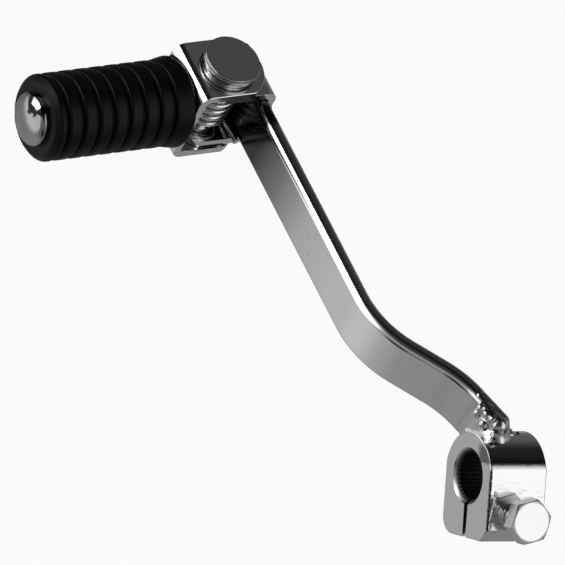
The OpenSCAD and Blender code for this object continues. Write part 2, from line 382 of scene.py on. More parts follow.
def node_copy(node: str, name: str, bevel_mm: float = 0.25) -> Piece:
    """Copies a CAD node's mesh, merges its flat faces and rounds its edges a little.

    Args:
        node: the CAD node.
        name: the copy's name.
        bevel_mm: width of the rounding on each sharp edge.

    Returns:
        The new object.
    """
    merge_m, flat, corner = 1e-6, math.radians(0.6), math.radians(50)
    mesh = frame["nodes"][node].data.copy()
    mesh.name = name
    piece = add_object(name, mesh)
    bm = bmesh.new()
    bm.from_mesh(mesh)
    bmesh.ops.remove_doubles(bm, verts=bm.verts, dist=merge_m)
    bmesh.ops.dissolve_limit(bm, angle_limit=flat, verts=bm.verts, edges=bm.edges)
    edges = [e for e in bm.edges if len(e.link_faces) == 2 and e.calc_face_angle(0) > corner]
    bmesh.ops.bevel(bm, geom=edges, offset=bevel_mm * MM, segments=3, profile=0.5,
                    affect="EDGES", clamp_overlap=True)
    bm.to_mesh(mesh)
    bm.free()
    tidy_mesh(piece, SHARP)
    return piece


def carve(piece: Piece, tool: Piece) -> Piece:
    """Takes a tool's volume out of a piece and removes the tool.

    Args:
        piece: the piece to cut.
        tool: a closed mesh.

    Returns:
        The cut piece, shaded again.
    """
    piece.modifiers.clear()
    cut = piece.modifiers.new("cut", "BOOLEAN")
    cut.object = tool
    cut.operation = "DIFFERENCE"
    cut.solver = "EXACT"
    apply_modifiers(piece)
    bpy.data.objects.remove(tool)
    tidy_mesh(piece, CUT_SHARP)
    return piece


Socket = bpy.types.NodeSocket
Value = bpy.types.NodeSocket | float


class NodeKit:
    """Short-hand for building one shader node tree."""

    def __init__(self, tree: bpy.types.NodeTree) -> None:
        """Keeps the tree that the nodes go into."""
        self.tree = tree

    def put(self, value: object, socket: Socket) -> None:
        """Links a socket to an input, or sets the input's value.

        Args:
            value: the socket to link, or the number or vector to set.
            socket: the input.
        """
        if isinstance(value, Socket):
            self.tree.links.new(value, socket)
        else:
            socket.default_value = value

    def add(self, kind: str, **values: object) -> bpy.types.Node:
        """Adds a node and sets its properties and, by socket name, its inputs.

        Args:
            kind: the node's type name.
            values: property values, or what to put into an input, named with _ for a space.

        Returns:
            The new node.
        """
        node = self.tree.nodes.new(kind)
        for key, value in values.items():
            if hasattr(node, key):
                setattr(node, key, value)
            else:
                self.put(value, node.inputs[key.replace("_", " ")])
        return node

    def math(self, operation: str, a: Value, b: Value = 0.0) -> Socket:
        """Adds a Math node.

        Args:
            operation: what it works out.
            a: its first input, a socket or a number.
            b: its second.

        Returns:
            Its output.
        """
        node = self.add("ShaderNodeMath", operation=operation)
        self.put(a, node.inputs[0])
        self.put(b, node.inputs[1])
        return node.outputs[0]

    def times(self, a: Value, b: Value) -> Socket:
        """Returns a times b."""
        return self.math("MULTIPLY", a, b)

    def plus(self, a: Value, b: Value) -> Socket:
        """Returns a plus b."""
        return self.math("ADD", a, b)

    def less(self, a: Value, b: Value) -> Socket:
        """Returns a less b."""
        return self.math("SUBTRACT", a, b)

    def larger(self, a: Value, b: Value) -> Socket:
        """Returns the larger of a and b."""
        return self.math("MAXIMUM", a, b)

    def length(self, a: Socket, b: Socket) -> Socket:
        """Returns the length of the pair, the square root of a² + b²."""
        return self.math("SQRT", self.plus(self.times(a, a), self.times(b, b)))

    def fade(self, start: float, share: Socket, end: float) -> Socket:
        """Returns start less share times (start less end): start at a share of 0, end at 1."""
        return self.less(start, self.times(share, start - end))

    def step(self, value: Socket, low: float, high: float, to_low: float = 0.0,
             to_high: float = 1.0) -> Socket:
        """Smooth step of a value between two places.

        Args:
            value: the value that is looked at.
            low: where the step begins.
            high: where it ends, which may be the smaller one.
            to_low: its result at low.
            to_high: its result at high.

        Returns:
            The result's socket.
        """
        node = self.add("ShaderNodeMapRange", interpolation_type="SMOOTHSTEP", Value=value,
                        From_Min=low, From_Max=high, To_Min=to_low, To_Max=to_high)
        return node.outputs["Result"]

    def band(self, value: Socket, ends: Pair) -> Socket:
        """Returns the smooth step from 0 to 1 between two places in millimetres."""
        return self.step(value, ends[0] * MM, ends[1] * MM)

    def place(self) -> Socket:
        """Returns the Object coordinates."""
        return self.add("ShaderNodeTexCoord").outputs["Object"]

    def vector(self, operation: str, a: Socket, b: np.ndarray | None = None) -> Socket:
        """Adds a Vector Math node.

        Args:
            operation: what it works out.
            a: its first input.
            b: its second, a constant, where it has one.

        Returns:
            Its output, a number or a vector by its operation.
        """
        node = self.add("ShaderNodeVectorMath", operation=operation)
        self.put(a, node.inputs[0])
        if b is not None:
            self.put(tuple(b), node.inputs[1])
        number = operation in ("DOT_PRODUCT", "DISTANCE", "LENGTH")
        return node.outputs["Value" if number else "Vector"]

    def noise(self, vector: Socket, scale: Value, detail: float, roughness: float = 0.5) -> Socket:
        """Adds a noise over a vector.

        Args:
            vector: where it is read.
            scale: its scale, a socket or a number.
            detail: number of finer octaves.
            roughness: how strong the finer octaves are.

        Returns:
            Its factor's socket.
        """
        node = self.add("ShaderNodeTexNoise", Vector=vector, Scale=scale, Detail=detail,
                        Roughness=roughness)
        return node.outputs["Fac"]


def new_material(name: str) -> tuple[bpy.types.Material, NodeKit, bpy.types.Node]:
    """Makes a material.

    Args:
        name: its name.

    Returns:
        The material, a kit for its nodes and its Principled shader.
    """
    material = bpy.data.materials.new(name)
    material.use_nodes = True
    tree = material.node_tree
    return material, NodeKit(tree), tree.nodes["Principled BSDF"]


def new_group(name: str, inputs: dict[str, float | None],
              output: str) -> tuple[NodeKit, list[Socket], Socket]:
    """Makes a node group with one float output.

    Args:
        name: the group's name.
        inputs: each input's label and its default, or None where it is a vector.
        output: the output's label.

    Returns:
        A kit for its nodes, the sockets that give its inputs and the socket of its output.
    """
    tree = bpy.data.node_groups.new(name, "ShaderNodeTree")
    for label, value in inputs.items():
        kind = "NodeSocketVector" if value is None else "NodeSocketFloat"
        socket = tree.interface.new_socket(label, in_out="INPUT", socket_type=kind)
        if value is not None:
            socket.default_value = value
    tree.interface.new_socket(output, in_out="OUTPUT", socket_type="NodeSocketFloat")
    kit = NodeKit(tree)
    given = kit.add("NodeGroupInput").outputs[:len(inputs)]
    return kit, given, kit.add("NodeGroupOutput").inputs[output]


class Effects:
    """Shader node groups that several finishes share."""

    def __init__(self) -> None:
        """Builds each group once."""
        self.handled = self._handled()
        self.grain = self._grain()

    @staticmethod
    def _handled() -> bpy.types.NodeTree:
        """Handled metal: soft clouds of haze and fine wiping marks, as one roughness value.

        Returns:
            The group: base + haze * noise + marks * (a finer noise, drawn out one way) cubed.
        """
        inputs = {"Base": 0.08, "Haze": 0.05, "Marks": 0.04, "Scale": 60.0}
        kit, (base, haze, marks, scale), out = new_group("handled_metal", inputs, "Roughness")
        finer, power = 9.0, 3.0
        place = kit.place()
        clouds = kit.noise(place, scale, detail=3.0, roughness=0.55)
        lie = kit.add("ShaderNodeMapping", Vector=place, Scale=(9.0, 1.0, 2.5),
                      Rotation=(0.3, 0.7, 0.2))
        wiped = kit.noise(lie.outputs[0], kit.times(scale, finer), detail=4.0, roughness=0.7)
        thin = kit.math("POWER", wiped, power)
        kit.put(kit.plus(kit.plus(base, kit.times(clouds, haze)), kit.times(thin, marks)), out)
        return kit.tree

    @staticmethod
    def _grain() -> bpy.types.NodeTree:
        """Two sizes of noise added together, for orange peel, lumps and moulding grain.

        Returns:
            The group: noise + coarse * (a noise of a quarter of the scale).
        """
        kit, (scale, coarse), out = new_group("grain", {"Scale": 400.0, "Coarse": 0.5}, "Height")
        place = kit.place()
        fine = kit.noise(place, scale, detail=2.0)
        slow = kit.noise(place, kit.times(scale, 0.25), detail=1.0)
        kit.put(kit.plus(fine, kit.times(slow, coarse)), out)
        return kit.tree


@dataclass(frozen=True)
class Coat:
    """What a finish paints on: its node kit and shader, its roughness and its waves' height."""

    kit: NodeKit
    shader: bpy.types.Node
    rough: Socket
    height: Socket

    def colour(self, tone: Socket) -> None:
        """Links a tone to the shader's colour."""
        self.kit.put(tone, self.shader.inputs["Base Color"])


@dataclass(frozen=True)
class Finish:
    """A plain metal: its grey, its roughness with haze and marks, and its surface waves."""

    name: str
    grey: float
    base: float
    haze: float = 0.06
    marks: float = 0.10
    wave_scale: float = 350.0
    wave_height: float = 0.010
    wave_strength: float = 1.0
    metallic: float = 1.0

    def make(self, effects: Effects) -> bpy.types.Material:
        """Builds the material.

        Args:
            effects: the shared node groups.

        Returns:
            The material, with its roughness and bump from Object coordinates.
        """
        material, kit, shader = new_material(self.name)
        shader.inputs["Base Color"].default_value = (self.grey, self.grey, self.grey, 1.0)
        shader.inputs["Metallic"].default_value = self.metallic
        handled = kit.add("ShaderNodeGroup", node_tree=effects.handled, Base=self.base,
                          Haze=self.haze, Marks=self.marks)
        rough = handled.outputs["Roughness"]
        kit.put(rough, shader.inputs["Roughness"])
        grain = kit.add("ShaderNodeGroup", node_tree=effects.grain, Scale=self.wave_scale)
        height = self.paint(Coat(kit, shader, rough, grain.outputs["Height"]))
        bump = kit.add("ShaderNodeBump", Height=height, Distance=self.wave_height * MM,
                       Strength=self.wave_strength)
        kit.put(bump.outputs["Normal"], shader.inputs["Normal"])
        return material

    def paint(self, coat: Coat) -> Socket:
        """Paints what is special to a finish, which is nothing on a plain one.

        Args:
            coat: what it paints on.

        Returns:
            The height that goes to the bump.
        """
        return coat.height


@dataclass(frozen=True)
class BossFinish(Finish):
    """Chrome with a dark bore of bare steel and painted shade, pits and streaks, and a dark band of
    painted reflection on the boss.

    Each pair says where a mark begins and where it is full, in millimetres, or in the noise's
    own values for streak_noise.
    """

    dark: float = 0.05
    # the bore is rougher bare steel, and its near-black tone is painted shade in the hole
    bore: Pair = (6.95, 6.05)
    bore_rough: float = 0.4
    pit_scale: float = 2600.0
    pit_edge: Pair = (10.5, -7.9)
    pit_ragged: float = 0.9
    pit_reach: Pair = (0.08, -0.02)
    pit_under: Pair = (4.0, 2.5)
    # painted reflection: a dark band across the side, painted into the colour
    reflection_band_ragged: float = 2.0
    reflection_band_under: Pair = (9.2, 7.4)
    reflection_band_over: Pair = (3.6, 4.4)
    reflection_band_side: Pair = (3.0, 5.5)
    reflection_band_share: float = 0.8
    streak_scale: float = 1500.0
    streak_noise: Pair = (0.52, 0.68)
    streak_side: Pair = (9.0, 10.4)
    streak_under: Pair = (2.5, -7.0)
    streak_share: float = 0.5

    def paint(self, coat: Coat) -> Socket:
        """Paints the bore dark, as bare steel with painted shade, and pits, a band of painted
        reflection and streaks on the plating.

        The bore is where the distance from the y axis is under its radius, and its dark tone is
        painted shade in the hole. The pits lie where the distance from the front side edge, less
        some noise, is small. The band of painted dark reflection crosses the side with a ragged
        lower edge, and the streaks under it are a noise drawn out along y.

        Args:
            coat: what it paints on.

        Returns:
            The height as it came.
        """
        kit, place = coat.kit, coat.kit.place()
        x, y, z = kit.add("ShaderNodeSeparateXYZ", Vector=place).outputs
        # painted shade: the bore goes near black inside the hole, on its rougher bare steel
        bare_and_shaded = kit.band(kit.length(x, z), self.bore)
        noise = kit.noise(place, self.pit_scale, detail=2.0)
        side, front = (kit.less(v, at * MM) for v, at in zip((x, y), self.pit_edge))
        ragged = kit.less(kit.length(side, front), kit.times(noise, self.pit_ragged * MM))
        pits = kit.times(kit.band(ragged, self.pit_reach), kit.band(z, self.pit_under))
        # painted reflection: the dark band on the side, with a ragged lower edge
        uneven = kit.plus(z, kit.times(kit.less(noise, 0.5), self.reflection_band_ragged * MM))
        upper = kit.times(kit.band(z, self.reflection_band_under), kit.band(uneven, self.reflection_band_over))
        reflection_band = kit.times(kit.times(upper, kit.band(x, self.reflection_band_side)), self.reflection_band_share)
        lie = kit.add("ShaderNodeMapping", Vector=place, Scale=(1.0, 0.14, 1.0))
        drawn = kit.noise(lie.outputs[0], self.streak_scale, detail=3.0)
        drawn = kit.step(drawn, *self.streak_noise)
        streaks = kit.times(kit.times(drawn, kit.band(x, self.streak_side)),
                            kit.times(kit.band(z, self.streak_under), self.streak_share))
        dark = kit.larger(kit.larger(bare_and_shaded, pits), kit.larger(reflection_band, streaks))
        rough = kit.plus(coat.rough, kit.times(bare_and_shaded, self.bore_rough))
        kit.put(rough, coat.shader.inputs["Roughness"])
        coat.colour(kit.fade(self.grey, dark, self.dark))
        return coat.height


@dataclass(frozen=True)
class ArmFinish(Finish):
    """Painted reflection and shade along the arm: dark by the bracket, clearing along the arm,
    darker again at the boss, with a dark outer strip of painted reflection.

    The painted reflection tones are pairs of millimetres along the arm and grey. The other pairs
    say where a mark begins and where it is full, in millimetres, or in the noise's own values for
    scuff_noise.
    """

    span: float = 120.0
    # painted reflection and shade: dark by the bracket and the boss, bright along the middle
    reflection_tones: tuple[Pair, ...] = (
        (16, 0.06), (28, 0.33), (42, 0.78), (60, 0.95), (92, 0.86), (104, 0.45), (116, 0.26))
    # painted reflection: the outer side of the bar is painted darker
    dark_reflection_strip: Pair = (6.9, 7.15)
    dark_reflection_strip_share: float = 0.55
    scuff_scale: float = 260.0
    scuff_noise: Pair = (0.62, 0.72)
    scuff_share: float = 0.22
    edge: Pair = (5.4, 5.9)
    edge_from: Pair = (14.0, 17.0)
    edge_grey: float = 0.8

    def paint(self, coat: Coat) -> Socket:
        """Paints a ramp of painted reflection and shade along the arm, scuffs on it, a rounded edge
        kept at the plain grey and a dark outer strip of painted reflection.

        The place along the arm and across it are dot products with the arm's axes.

        Args:
            coat: what it paints on.

        Returns:
            The height as it came.
        """
        kit, place = coat.kit, coat.kit.place()
        seen = kit.vector("SUBTRACT", place, ARM.origin * MM)
        along, across = (kit.vector("DOT_PRODUCT", seen, ARM.axes[k]) for k in (0, 2))
        # painted reflection and shade: the grey follows the place along the arm
        ramp = kit.add("ShaderNodeValToRGB", Fac=kit.times(along, 1 / (self.span * MM)))
        points = ramp.color_ramp.elements
        while len(points) < len(self.reflection_tones):
            points.new(0.5)
        for point, (mm, tone) in zip(points, self.reflection_tones):
            point.position = mm / self.span
            point.color = (tone, tone, tone, 1.0)
        scuffs = kit.noise(place, self.scuff_scale, detail=4.0, roughness=0.7)
        scuffs = kit.times(kit.step(scuffs, *self.scuff_noise), self.scuff_share)
        edge = kit.times(kit.band(across, self.edge), kit.band(along, self.edge_from))
        reflection_and_scuffs = kit.times(ramp.outputs["Color"], kit.less(1.0, scuffs))
        clear = kit.larger(reflection_and_scuffs, kit.times(edge, self.edge_grey))
        # painted dark reflection on the bar's outer side
        dark_reflection_strip = kit.times(kit.band(across, self.dark_reflection_strip), self.dark_reflection_strip_share)
        coat.colour(kit.times(clear, kit.less(1.0, dark_reflection_strip)))
        return coat.height


@dataclass(frozen=True)
class TurnedFinish(Finish):
    """Turned metal: rings round an axis through the rivet, soft clouds and a rim darkened as
    painted reflection.
    """

    axis: np.ndarray = field(default_factory=lambda: ARM.axes[2])
    pitch: float = 0.9
    ring_height: float = 0.8
    grain_share: float = 0.4
    ring_tone: float = 0.03
    cloud_tone: float = -1.6
    lift: float = 0.30
    # painted dark reflection on the head's rim
    rim: Pair = (6.7, 7.0)
    rim_reflection_share: float = 0.55

    def rings(self, kit: NodeKit) -> tuple[Socket, Socket]:
        """Turning marks: a sine of the distance from the axis, and that distance.

        The distance is the length of the cross product of the axis and the place seen from the
        rivet.


        Returns:
            The marks' socket and the distance's.
        """
        seen = kit.vector("SUBTRACT", kit.place(), ARM.origin * MM)
        away = kit.vector("LENGTH", kit.vector("CROSS_PRODUCT", seen, self.axis))
        phase = kit.times(away, 2 * math.pi / (self.pitch * MM))
        return kit.times(kit.math("SINE", phase), self.ring_height), away

    def paint(self, coat: Coat) -> Socket:
        """Paints faint tones in the rings, clouds that follow the roughness and the rim's painted
        dark reflection.

        Args:
            coat: what it paints on.

        Returns:
            A share of the height plus the rings.
        """
        kit = coat.kit
        rings, away = self.rings(kit)
        clouds = kit.plus(kit.times(coat.rough, self.cloud_tone), self.grey + self.lift)
        tone = kit.plus(kit.times(rings, self.ring_tone), clouds)
        # painted reflection: the rim is painted darker
        rim = kit.times(kit.band(away, self.rim), self.rim_reflection_share)
        coat.colour(kit.times(tone, kit.less(1.0, rim)))
        return kit.plus(kit.times(coat.height, self.grain_share), rings)


@dataclass(frozen=True)
class DomeFinish(TurnedFinish):
    """Turned dome with a ragged patch of painted dark reflection round a painted highlight, sizes
    in millimetres.
    """

    axis: np.ndarray = field(default_factory=lambda: ARM.axes[1])
    pitch: float = 0.7
    ring_height: float = 0.3
    dark: float = 0.02
    # painted reflection: a ragged dark patch with a painted highlight in its middle
    reflection_at: Triple = (-0.3, -52.2, 6.3)
    reflection_scale: float = 700.0
    reflection_ragged: float = 3.0
    dark_reflection_under: Pair = (5.1, 4.8)
    highlight_under: Pair = (3.3, 3.0)
    highlight_grey: float = 0.8

    def paint(self, coat: Coat) -> Socket:
        """Paints the dark reflection and the highlight by the distance from their middle and some
        noise.

        Args:
            coat: what it paints on.

        Returns:
            A share of the height plus the rings.
        """
        kit, place = coat.kit, coat.kit.place()
        away = kit.vector("DISTANCE", place, ARM.place(np.array(self.reflection_at)) * MM)
        noise = kit.noise(place, self.reflection_scale, detail=3.0)
        # painted dark reflection round a painted highlight, by distance and noise
        ragged = kit.plus(away, kit.times(noise, self.reflection_ragged * MM))
        tone = kit.fade(self.grey, kit.band(ragged, self.dark_reflection_under), self.dark)
        highlight = kit.times(kit.band(ragged, self.highlight_under), self.highlight_grey)
        coat.colour(kit.plus(tone, highlight))
        return kit.plus(kit.times(coat.height, self.grain_share), self.rings(kit)[0])


@dataclass(frozen=True)
class RubberFinish(Finish):
    """Moulded rubber with a soft sheen and a fine grain."""

    wave_strength: float = 0.8
    metallic: float = 0.0
    specular: float = 0.13

    def paint(self, coat: Coat) -> Socket:
        """Sets the sheen and returns the height as it came."""
        coat.shader.inputs["Specular IOR Level"].default_value = self.specular
        return coat.height


class Finishes:
    """Every finish of the lever, made once."""

    def __init__(self) -> None:
        """Builds the materials."""
        effects = Effects()
        self.plate = Finish("chrome_plate", 0.80, 0.07).make(effects)
        self.boss = BossFinish("chrome_boss", 0.74, 0.08).make(effects)
        self.arm = ArmFinish("chrome_arm", 0.80, 0.13, wave_height=0.008).make(effects)
        # the weld's grey is painted shade: darker than the plate's chrome, to dull the fillet
        self.weld = Finish("chrome_weld", 0.54, 0.12, haze=0.05, marks=0.06).make(effects)
        self.turned = TurnedFinish("turned_chrome", 0.78, 0.16, wave_height=0.012).make(effects)
        # the dome's grey is painted shade: far darker than the chrome's own, to look as dark as it
        # does
        self.dome = DomeFinish("domed_chrome", 0.33, 0.14, marks=0.08).make(effects)
        self.wire = Finish("spring_wire", 0.70, 0.16, haze=0.08, wave_scale=900.0,
                           wave_height=0.012).make(effects)
        self.bolt = Finish("zinc_bolt", 0.76, 0.20, haze=0.08, marks=0.12, wave_scale=900.0,
                           wave_height=0.018).make(effects)
        self.rubber = RubberFinish("black_rubber", 0.003, 0.36, haze=0.10, marks=0.06,
                                   wave_scale=2600.0, wave_height=0.025).make(effects)


@dataclass
class Boss:
    """The clamp boss with its serrated bore and slot, and its slackened pinch bolt."""

    diameter: float = 21.6
    width: float = 21.0
    length: float = 15.8
    drop: float = 14.9
    corner: float = 3.2
    round_r: float = 4.2
    spline_r: float = 6.0
    spline_depth: float = 0.35
    teeth: int = 36
    lead: float = 0.9
    slot: float = 1.4
    edge_r: float = 0.45
    bolt_d: float = 6.0
    bolt_drop: float = 8.7
    bolt_len: float = 20.0
    bolt_af: float = 10.0
    head_h: float = 4.0
    slack: float = 3.5
    turned: float = 44.0
    thread_pitch: float = 1.0
    clear: float = 0.3
    tight: float = 0.03
    thread_depth: float = 0.55

    def outer(self) -> np.ndarray:
        """Outline outside the slot, from its right lip anticlockwise to its left one.

        Returns:
            Array (n, 2) of x and z.
        """
        half = self.width / 2
        radius = self.diameter / 2
        start = math.degrees(math.acos(half / radius))
        top = arc_points((0, 0), radius, start, 180 - start, 48)
        right = np.array([[self.slot / 2, -self.drop], [half - self.corner, -self.drop],
                          [half, self.corner - self.drop]])
        centre = (self.round_r - half, self.round_r - self.drop)
        left = arc_points(centre, self.round_r, 180, 270, 12)
        return np.concatenate([right, top, left, [[-self.slot / 2, -self.drop]]])

    def inner(self) -> np.ndarray:
        """Serrated bore from the slot's left side round to its right side.

        Each serration has a flat crest and a vee: its radius is a triangle wave of the angle.

        Returns:
            Array (n, 2) of x and z.
        """
        fine, vee = 8, 0.30
        crest = self.spline_r - self.spline_depth
        lip = math.degrees(math.asin(self.slot / 2 / crest))
        pitch = 360 / self.teeth
        angle = np.arange(self.teeth * fine) * pitch / fine + pitch / fine / 2
        phase = angle / pitch % 1
        radius = crest + self.spline_depth * np.clip(1 - np.abs(phase - 0.5) / vee, 0, 1)
        swing = angle[(angle > lip) & (angle < 360 - lip)]
        radius = radius[(angle > lip) & (angle < 360 - lip)]
        swing = np.concatenate([[lip], swing, [360 - lip]])
        radius = np.concatenate([[crest], radius, [crest]])
        a = np.radians(-90 - swing)
        return np.stack([radius * np.cos(a), radius * np.sin(a)], axis=1)

    def sections(self) -> tuple[np.ndarray, np.ndarray]:
        """Stations along the bore and the boss's outline at each.

        The outer outline moves in by r - sqrt(r² - (r - d)²) at a depth d under the face, which
        rounds its edge. The bore's points move out to the lead-in cone where that is wider.

        Returns:
            The stations, array (n,), and the outlines, array (n, k, 2).
        """
        outer, inner = self.outer(), self.inner()
        side = np.roll(outer, -1, axis=0) - outer
        normal = np.stack([side[:, 1], -side[:, 0]], axis=1) / np.linalg.norm(side, axis=1)[:, None]
        normal[-1] = (0, -1)
        before = np.roll(normal, 1, axis=0)
        before[0] = (0, -1)
        mitre = (normal + before) / (1 + (normal * before).sum(axis=1))[:, None]
        depth = np.array([0, 0.06, 0.18, 0.32, self.edge_r, self.lead, 1.0, 1.12,
                          self.lead + self.spline_depth])
        under = np.maximum(self.edge_r - depth, 0)
        inset = self.edge_r - np.sqrt(self.edge_r ** 2 - under ** 2)
        cone = self.spline_r + self.lead - depth
        reach = np.linalg.norm(inner, axis=1)
        scale = np.maximum(cone[:, None], reach) / reach
        shape = np.concatenate([outer[None] - inset[:, None, None] * mitre,
                                inner[None] * scale[..., None]], axis=1)
        y = np.concatenate([depth - self.length / 2, (self.length / 2 - depth)[::-1]])
        return y, np.concatenate([shape, shape[::-1]])

    def build_boss(self) -> Piece:
        """Carries the slotted outline along the bore and drills the bolt hole through it.

        Returns:
            The boss, its hole clear of the bolt on the head's side and tight on the other.
        """
        y, shape = self.sections()
        piece = sweep("clamp_boss_body", np.outer(y, Y), X, Z, shape, ROW)
        seat = ROW.shifted((0, 0, -self.bolt_drop)).facing(2, 3, 1)
        for start, play in ((0.0, self.clear), (-self.width, self.tight)):
            drill = cylinder(self.bolt_d / 2 + play, start, start + self.width)
            carve(piece, revolve("drill", drill, seat, segments=64))
        return piece

    def build_bolt(self) -> Piece:
        """Hexagon head and threaded shank as one surface of rings, radius and height by angle.

        The head's radius is apothem / cos(angle from the flat's middle), and its top edge is
        cut by a cone. The thread's radius follows a rounded wave of height / pitch - angle / turn.

        Returns:
            The bolt.
        """
        steps, cone, sixth, along = 96, 0.5, math.pi / 3, 0.08
        a = np.linspace(0, 2 * math.pi, steps, endpoint=False)
        o = 0 * a
        hexagon = self.bolt_af / 2 / np.cos(np.mod(a, sixth) - sixth / 2)
        face_r, top, low = 0.475 * self.bolt_af, o + self.head_h, o - self.bolt_len
        rings = [(o, top - 0.15), (o + 2.6, top - 0.12), (o + face_r - 0.5, top),
                 (o + face_r, top - 0.05), (hexagon, top - 0.05 - (hexagon - face_r) * cone),
                 (hexagon, o + 0.25), (hexagon - 0.25, o), (o + 3.6, o)]
        for down in np.arange(0, self.bolt_len - 0.9, along):
            wave = 0.5 - 0.5 * np.cos(2 * math.pi * down / self.thread_pitch - a)
            fade = min(1.0, down / 0.8)
            rings.append((self.bolt_d / 2 - self.thread_depth * fade * wave ** 1.3, o - down))
        rings += [(o + 2.2, low + 0.2), (o, low)]
        seat = ROW.shifted((self.width / 2 + self.slack, 0, -self.bolt_drop)).facing(2, 3, 1)
        turned = a + math.radians(self.turned + 30)
        points = np.array([np.stack([r * np.cos(turned), r * np.sin(turned), h], axis=1)
                           for r, h in rings])
        return new_piece("pinch_bolt_threaded", seat.place(points.reshape(-1, 3)),
                         grid_faces(len(rings), steps, False), 28.0)

    def build(self, finishes: Finishes) -> None:
        """Builds and dresses both pieces."""
        dress(self.build_boss(), Body.LEVER, Slot.PLATE, finishes.boss, "clamp_boss")
        dress(self.build_bolt(), Body.LEVER, Slot.BOLT, finishes.bolt, "pinch_bolt")


@dataclass
class Arm:
    """The flat bar with its two bends, and the weld that holds it to the boss."""

    width: float = 14.4
    thickness: float = 3.8
    swell: float = 0.3
    edge_r: float = 1.9
    reach: float = 114.6
    end_short: float = 5.75
    step_angle: float = 41.9
    step_len: float = 23.9
    end_angle: float = 19.3
    bend_r: float = 25.0
    tail: float = 15.0
    boss_r: float = 10.8
    start: float = -8.0
    front: float = 5.95

    def path(self) -> tuple[np.ndarray, np.ndarray]:
        """Middle line of the bar in the arm's x and y: a run, an arc, a slope, an arc and a tail.

        Returns:
            Points, array (n, 2), and the heading at each in radians, array (n,).
        """
        mid = self.front + self.thickness / 2
        step, end = math.radians(self.step_angle), math.radians(self.end_angle)
        run = (self.reach - self.end_short - self.step_len * math.cos(step)
               - self.tail * math.cos(end))
        cut_in = self.bend_r * math.tan(step / 2)
        cut_out = self.bend_r * math.tan((step - end) / 2)
        first = np.linspace(0, step, 29)
        second = np.linspace(step, end, 17)
        bend_at = np.array([run - cut_in, mid])
        bend = bend_at + self.bend_r * np.stack([np.sin(first), 1 - np.cos(first)], axis=1)
        slope = self.step_len - cut_in - cut_out
        back_at = bend[-1] + slope * np.array([math.cos(step), math.sin(step)])
        back = back_at + self.bend_r * np.stack([math.sin(step) - np.sin(second),
                                                 np.cos(second) - math.cos(step)], axis=1)
        last = back[-1] + (self.tail - cut_out) * np.array([math.cos(end), math.sin(end)])
        points = np.concatenate([[[self.start, mid]], bend, back, [last]])
        return points, np.concatenate([[0.0], first, second, [end]])

    def section(self) -> np.ndarray:
        """Rounded rectangle of the bar, thickness across and width up, its back swelled.

        Returns:
            Array (n, 2) of the section.
        """
        t, w, r = self.thickness / 2, self.width / 2, self.edge_r
        back = t + self.swell
        corners = [(back - r, w - r, 0), (r - t, w - r, 90), (r - t, r - w, 180),
                   (back - r, r - w, 270)]
        return np.concatenate([arc_points((x, y), r, a, a + 90, 8) for x, y, a in corners])

    def build_bar(self) -> Piece:
        """Sweeps the rounded section along the path, with its ends eased a little.

        Returns:
            The bar, its end hollowed to the boss.
        """
        points, heading = self.path()
        ease, eased, sink, half = 0.25, 0.94, 0.1, 15.0
        ahead = np.array([math.cos(heading[-1]), math.sin(heading[-1])])
        points = np.concatenate([points[:1], points[:1] + [[ease, 0]], points[1:-1],
                                 points[-1:] - ease * ahead, points[-1:]])
        heading = np.concatenate([heading[:1], heading, heading[-1:]])
        shrink = np.ones(len(points))
        shrink[[0, -1]] = eased
        section = self.section()[None] * shrink[:, None, None]
        centres = np.concatenate([points, 0 * points[:, :1]], axis=1)
        sides = np.stack([-np.sin(heading), np.cos(heading), 0 * heading], axis=1)
        piece = sweep("arm_bar", centres, sides, Z, section, ARM)
        hollow = cylinder(self.boss_r - sink, -half, half)
        return carve(piece, revolve("hollow", hollow, ROW.facing(1, 3, -2), segments=160))

    def end_seat(self) -> Seat:
        """Seat at the middle of the bar's end.

        Returns:
            The seat: x along the bar, y to its back, z along its width.
        """
        points, heading = self.path()
        c, s = math.cos(heading[-1]), math.sin(heading[-1])
        axes = np.array([[c, s, 0.0], [-s, c, 0.0], [0.0, 0.0, 1.0]]) @ ARM.axes
        return Seat(ARM.place(np.array([*points[-1], 0.0])), axes)

    def weld_body(self) -> list[tuple[np.ndarray, float]]:
        """Smooth part of the weld as balls that stand out of the bar's front face and its end.

        On the front face a ball's middle lies its radius less h under the surface. h is a smooth
        step from the weld's left edge towards the bar's end, which falls with the distance from
        the foot on the boss, and a fillet that dies away exponentially from that foot. The balls
        past the bar's end stand out further the nearer they are to the boss.

        Returns:
            Each ball's middle and radius.
        """
        seat, radius, face, pace = self.end_seat(), 1.8, -self.thickness / 2, 0.8
        left, right, top, rise_from, rise_len = -8.6, 1.0, 5.9, -9.2, 4.5
        sunk, crown, fillet = 0.2, 1.3, 0.4
        foot_line = ([-8.6, -6.8, -5.0, -3.0, 0.0, 2.0], [-5.4, -5.0, -2.6, -0.4, 1.4, 2.2])
        balls = []
        for a in np.arange(left, right, pace):
            foot = np.interp(a, *foot_line)
            rise = np.clip((a - rise_from) / rise_len, 0, 1)
            for z in np.arange(foot, top, pace):
                fall = np.clip(1.25 - (z - foot) / 14, 0, 1)
                h = -sunk + crown * rise * rise * (3 - 2 * rise) * fall
                h += fillet * math.exp(-(z - foot) / 1.1) * np.clip((a - left) / 3, 0, 1)
                balls.append((seat.place(np.array([a, face - h + radius, z])), radius))
        for z, out in ((5.3, 0.2), (4.4, 0.8), (3.4, 1.5), (2.4, 2.2), (1.6, 3.0)):
            for y in (-1.3, -0.3, 0.7):
                balls.append((seat.place(np.array([out - radius + 0.9, y, z])), radius))
        return balls

